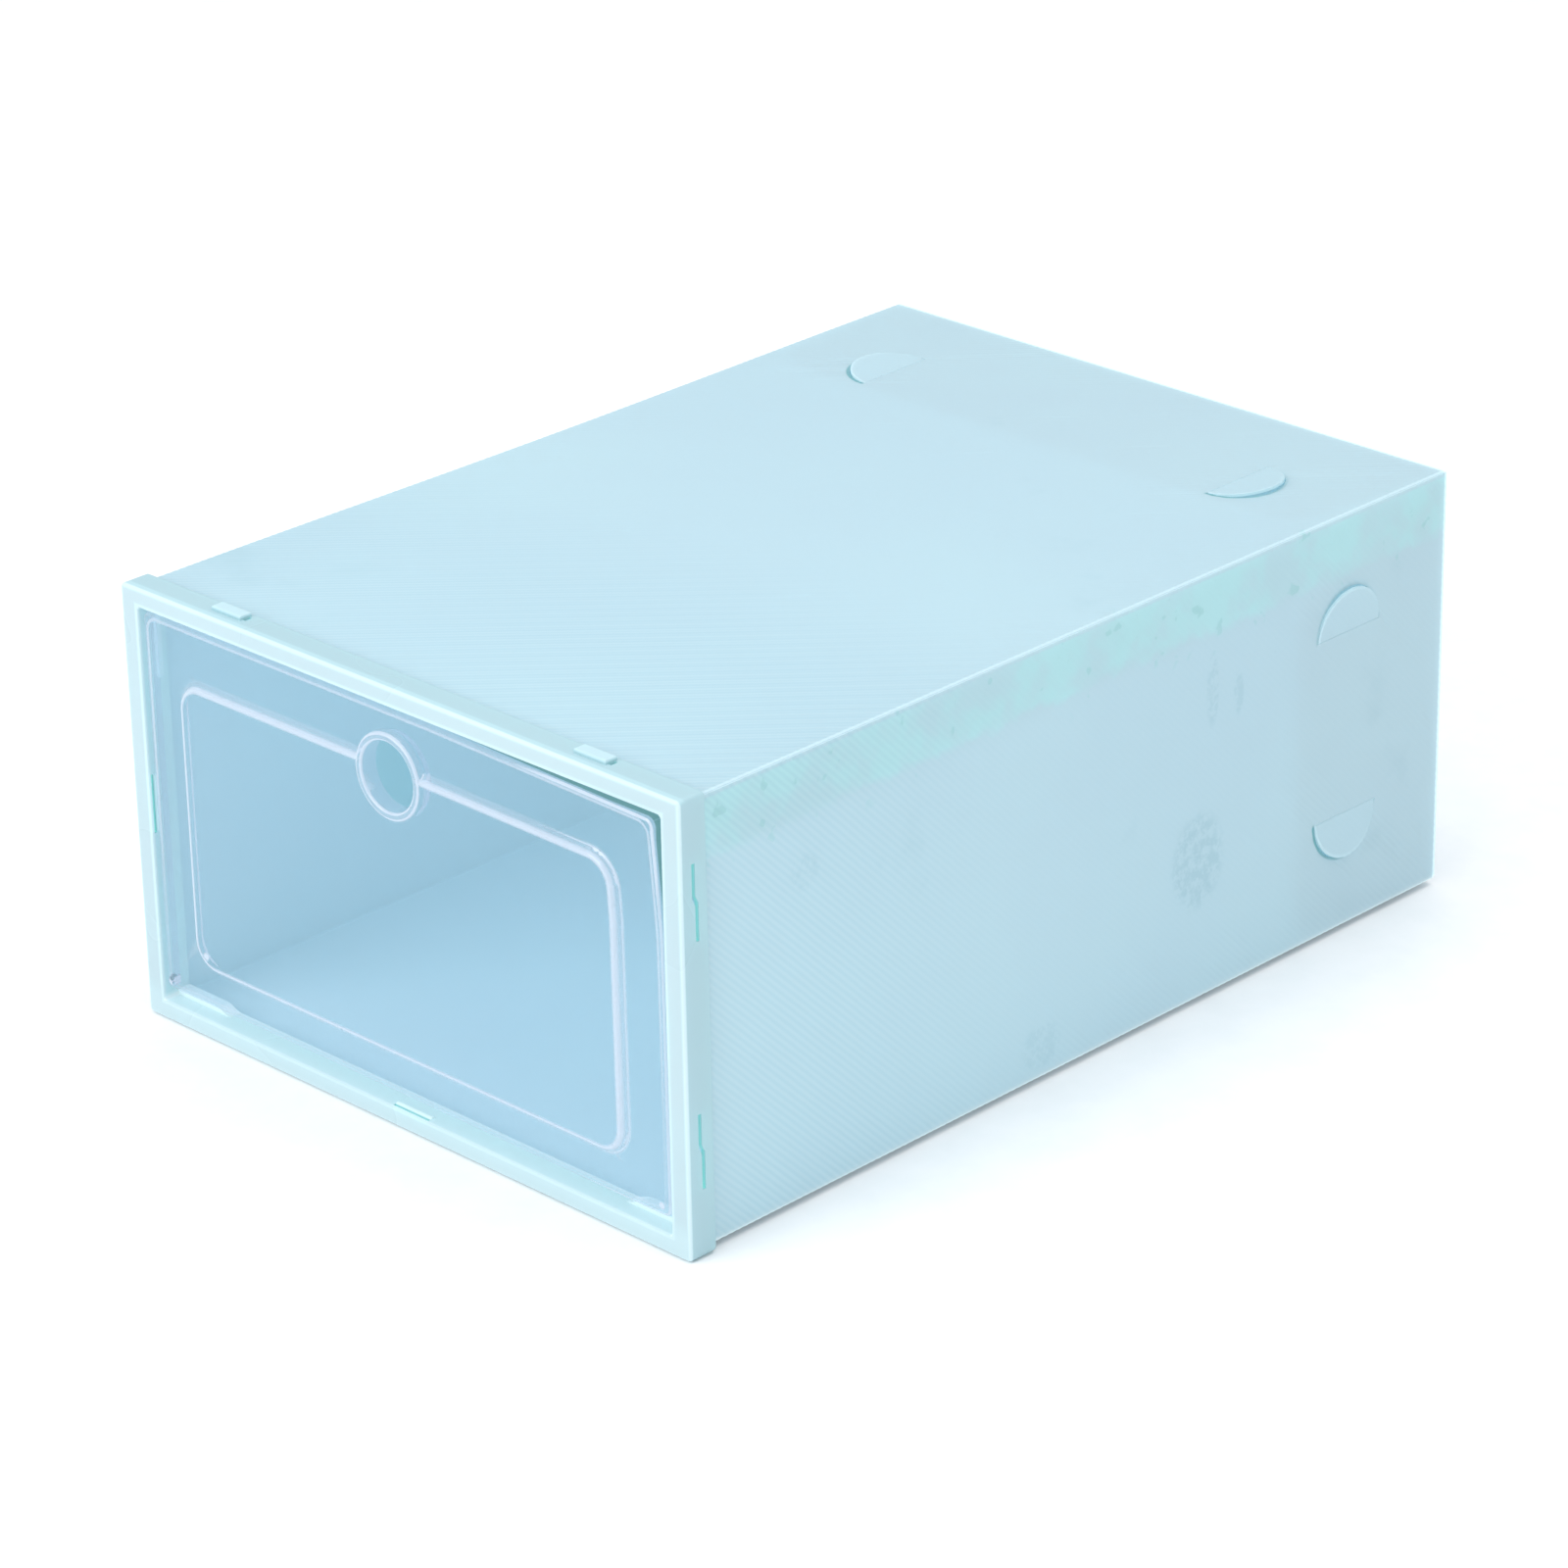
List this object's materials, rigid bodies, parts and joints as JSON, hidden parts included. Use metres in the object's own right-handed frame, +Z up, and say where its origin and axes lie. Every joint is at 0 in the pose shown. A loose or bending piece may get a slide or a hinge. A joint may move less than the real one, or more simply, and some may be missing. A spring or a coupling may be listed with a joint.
{
  "type": "shoe box",
  "caption": "Stackable see-through shoe box: folded plastic sheet body with a tuck-in back, moulded front frame and a clear drop-down door with a thumb ring.",
  "frame": {"origin": "centre of the footprint, thumb ring included, at the height of the table the box stands on", "axes": "+Z up, +X to the right seen from the front, +Y to the back; the door faces -Y"},
  "size_m": [0.232, 0.3316, 0.1413],
  "materials": {
    "sheet": "translucent, fine diagonal ribs",
    "frame": "satin",
    "door": "clear, glossy"
  },
  "bodies": {
    "case": {"front_frame": "frame", "bottom_panel": "sheet", "left_panel": "sheet", "right_panel": "sheet", "top_panel": "sheet", "seam_flap": "sheet"},
    "door": {"door": "door"},
    "back": {"back_panel": "sheet", "back_left_flap": "sheet", "back_right_flap": "sheet"},
    "tuck_flap": {"back_top_flap": "sheet"},
    "tongue_top_left": {"tongue_top_left": "sheet"},
    "tongue_top_right": {"tongue_top_right": "sheet"},
    "tongue_right_upper": {"tongue_right_upper": "sheet"},
    "tongue_right_lower": {"tongue_right_lower": "sheet"},
    "tongue_left_upper": {"tongue_left_upper": "sheet"},
    "tongue_left_lower": {"tongue_left_lower": "sheet"}
  },
  "joints": [
    {"name": "door_hinge", "type": "hinge", "parent": "case", "child": "door", "pos_m": [0, -0.1602, 0.0118], "axis": [1, 0, 0], "range_deg": [0, 92]},
    {"name": "back_fold", "type": "hinge", "parent": "case", "child": "back", "pos_m": [0, 0.1655, 0.0016], "axis": [-1, 0, 0], "range_deg": [0, 85]},
    {"name": "tuck_flap_fold", "type": "hinge", "parent": "back", "child": "tuck_flap", "pos_m": [0, 0.1647, 0.1365], "axis": [-1, 0, 0], "range_deg": [-77, 0]},
    {"name": "tongue_top_left_fold", "type": "hinge", "parent": "case", "child": "tongue_top_left", "pos_m": [-0.0715, 0.1183, 0.1384], "axis": [0, 1, 0], "range_deg": [-4.5, 40]},
    {"name": "tongue_top_right_fold", "type": "hinge", "parent": "case", "child": "tongue_top_right", "pos_m": [0.0715, 0.1183, 0.1384], "axis": [0, -1, 0], "range_deg": [-4.5, 40]},
    {"name": "tongue_right_upper_fold", "type": "hinge", "parent": "case", "child": "tongue_right_upper", "pos_m": [0.1144, 0.1203, 0.1], "axis": [0, 1, 0], "range_deg": [-4.5, 40]},
    {"name": "tongue_right_lower_fold", "type": "hinge", "parent": "case", "child": "tongue_right_lower", "pos_m": [0.1144, 0.1203, 0.04], "axis": [0, -1, 0], "range_deg": [-4.5, 40]},
    {"name": "tongue_left_upper_fold", "type": "hinge", "parent": "case", "child": "tongue_left_upper", "pos_m": [-0.1144, 0.1203, 0.1], "axis": [0, -1, 0], "range_deg": [-4.5, 40]},
    {"name": "tongue_left_lower_fold", "type": "hinge", "parent": "case", "child": "tongue_left_lower", "pos_m": [-0.1144, 0.1203, 0.04], "axis": [0, 1, 0], "range_deg": [-4.5, 40]}
  ],
  "couplings": [
    {"joint": "tuck_flap_fold", "follows": "back_fold", "ratio": -0.9}
  ]
}
